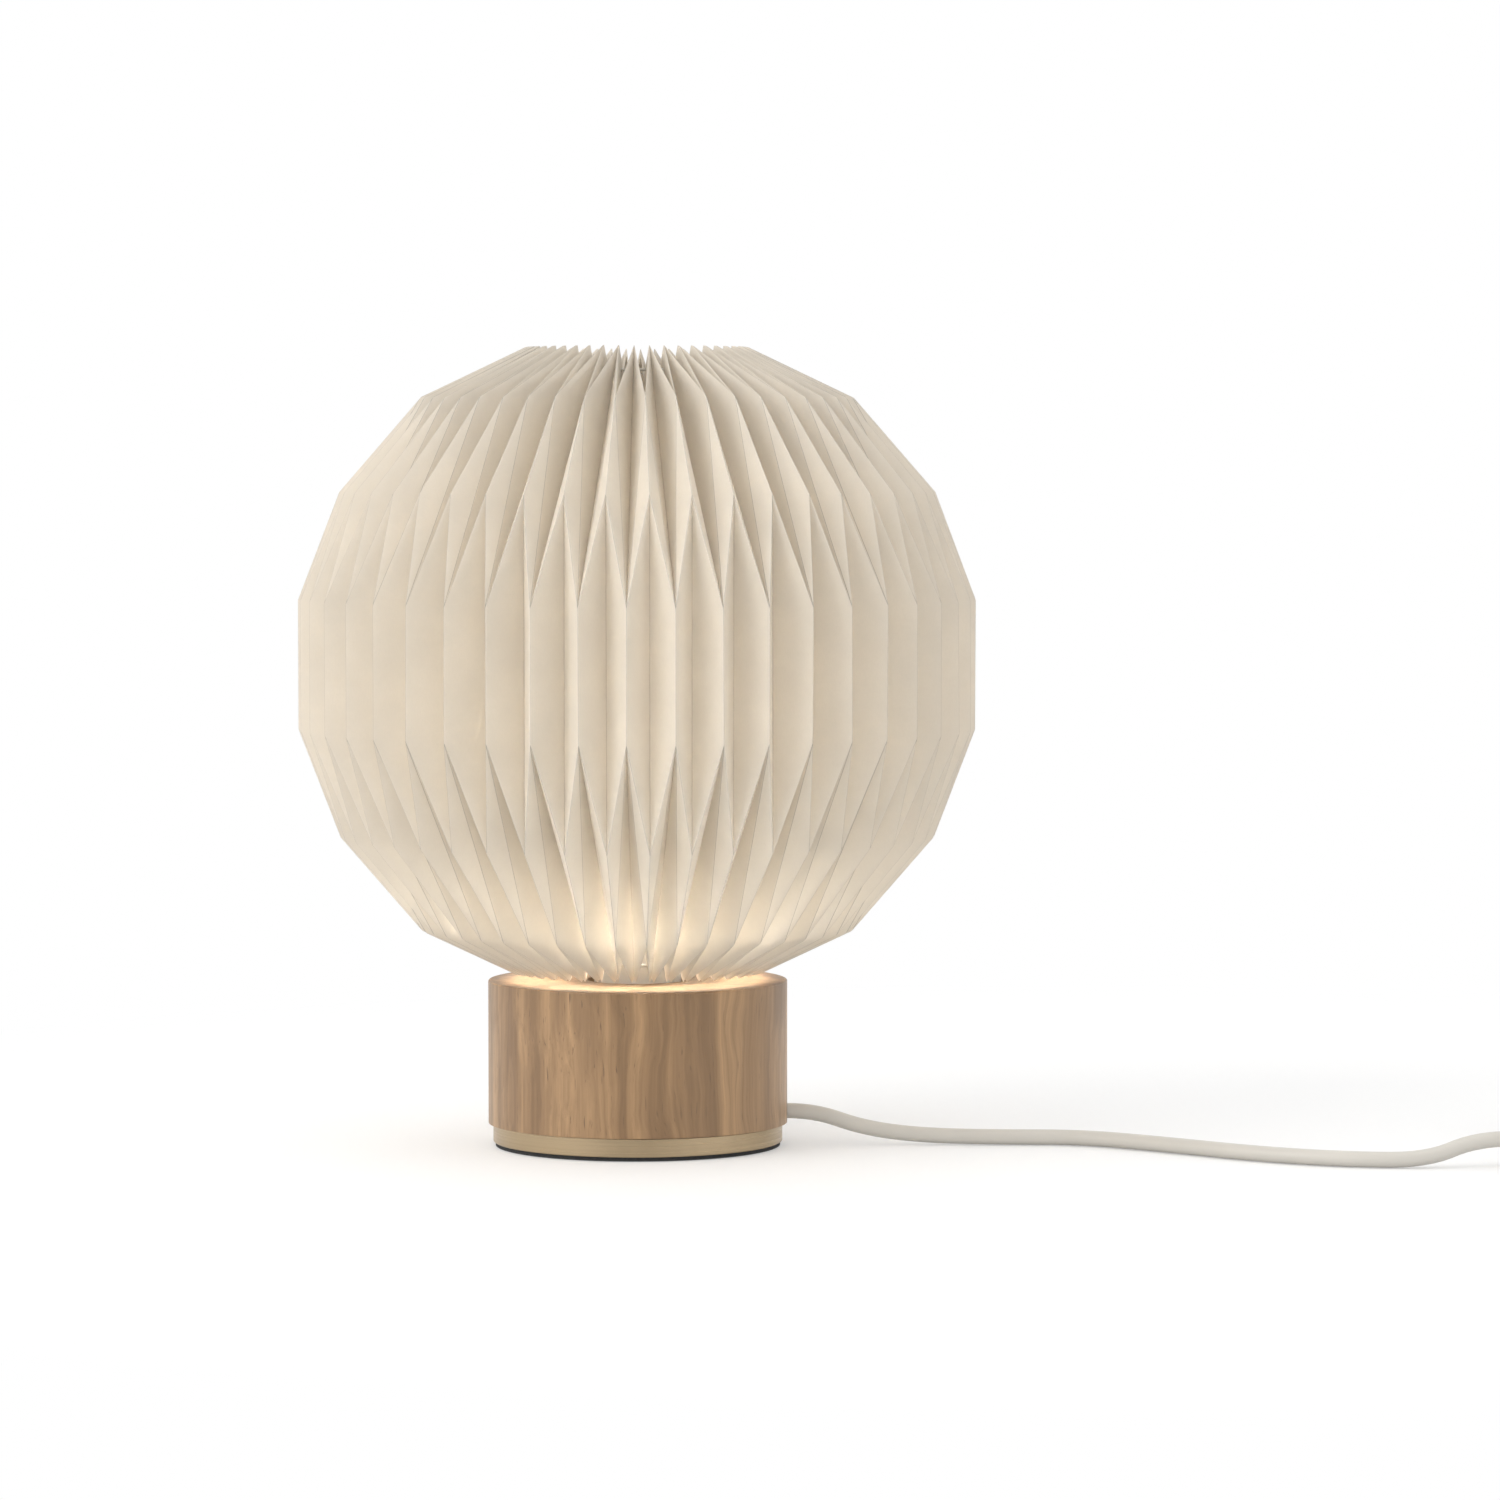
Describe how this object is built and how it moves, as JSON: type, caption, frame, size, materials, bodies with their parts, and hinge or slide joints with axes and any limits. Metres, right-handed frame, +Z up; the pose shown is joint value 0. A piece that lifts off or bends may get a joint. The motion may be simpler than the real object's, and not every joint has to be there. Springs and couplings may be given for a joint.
{
  "type": "table lamp",
  "caption": "Small table lamp with a ball-shaped cross-pleated paper shade on a turned oak base with a brass foot.",
  "frame": {"origin": "middle of the foot, on the surface it stands on", "axes": "+Z up along the lamp's axis; the lead leaves the base towards +X; the viewer stands at -Y"},
  "size_m": [0.4714, 0.2468, 0.2478],
  "materials": {
    "black_pad": "matt",
    "brass": "brushed",
    "steel": "satin",
    "oak": "oiled",
    "holder_plastic": "satin",
    "porcelain": "satin",
    "contact_brass": "plain",
    "white_wire": "satin",
    "solder": "satin",
    "black_glass": "gloss",
    "nickel": "polished",
    "bulb_glass": "clear",
    "filament": "lit",
    "paper": "matt",
    "gather_cord": "matt",
    "lead_sheath": "satin",
    "wire_sheath": "satin",
    "switch_plastic": "satin",
    "tie_band": "matt"
  },
  "bodies": {
    "base": {"foot_pad": "black_pad", "foot_plate": "brass", "foot_screws": "steel", "wood_base": "oak", "cord_clamp_bar": "steel", "cord_clamp_screws": "steel", "threaded_tube": "steel", "tube_washer": "steel", "tube_nut": "steel", "holder_cap": "holder_plastic", "contact_block": "porcelain", "terminal_screws": "contact_brass", "holder_sleeve": "holder_plastic", "screw_shell": "contact_brass", "centre_contact": "contact_brass", "shade_ring": "holder_plastic", "shade_carrier": "white_wire", "inner_cord": "lead_sheath", "inner_conductors": "wire_sheath", "cord_lead": "lead_sheath", "switch_lower_shell": "switch_plastic", "switch_upper_shell": "switch_plastic", "switch_pin": "steel", "switch_screws": "steel", "cord_link": "lead_sheath", "cord_coil": "lead_sheath", "coil_tie": "tie_band", "cord_end": "lead_sheath", "plug_body": "switch_plastic", "plug_pins": "nickel"},
    "shade": {"pleated_shade": "paper", "top_gather_cord": "gather_cord", "bottom_gather_cord": "gather_cord"},
    "bulb": {"bulb_tip": "solder", "bulb_insulator": "black_glass", "bulb_cap": "nickel", "bulb_glass": "bulb_glass", "bulb_stem": "bulb_glass", "bulb_filaments": "filament"},
    "rocker": {"switch_rocker": "switch_plastic"}
  },
  "joints": [
    {"name": "shade_lift", "type": "slide", "parent": "base", "child": "shade", "axis": [0, 0, 1], "range_m": [0, 0.22]},
    {"name": "bulb_out", "type": "slide", "parent": "base", "child": "bulb", "axis": [0, 0, 1], "range_m": [0, 0.185]},
    {"name": "rocker_tilt", "type": "hinge", "parent": "base", "child": "rocker", "pos_m": [0.293, -0.062, 0.0135], "axis": [0, 1, 0], "range_deg": [0, 14]}
  ]
}
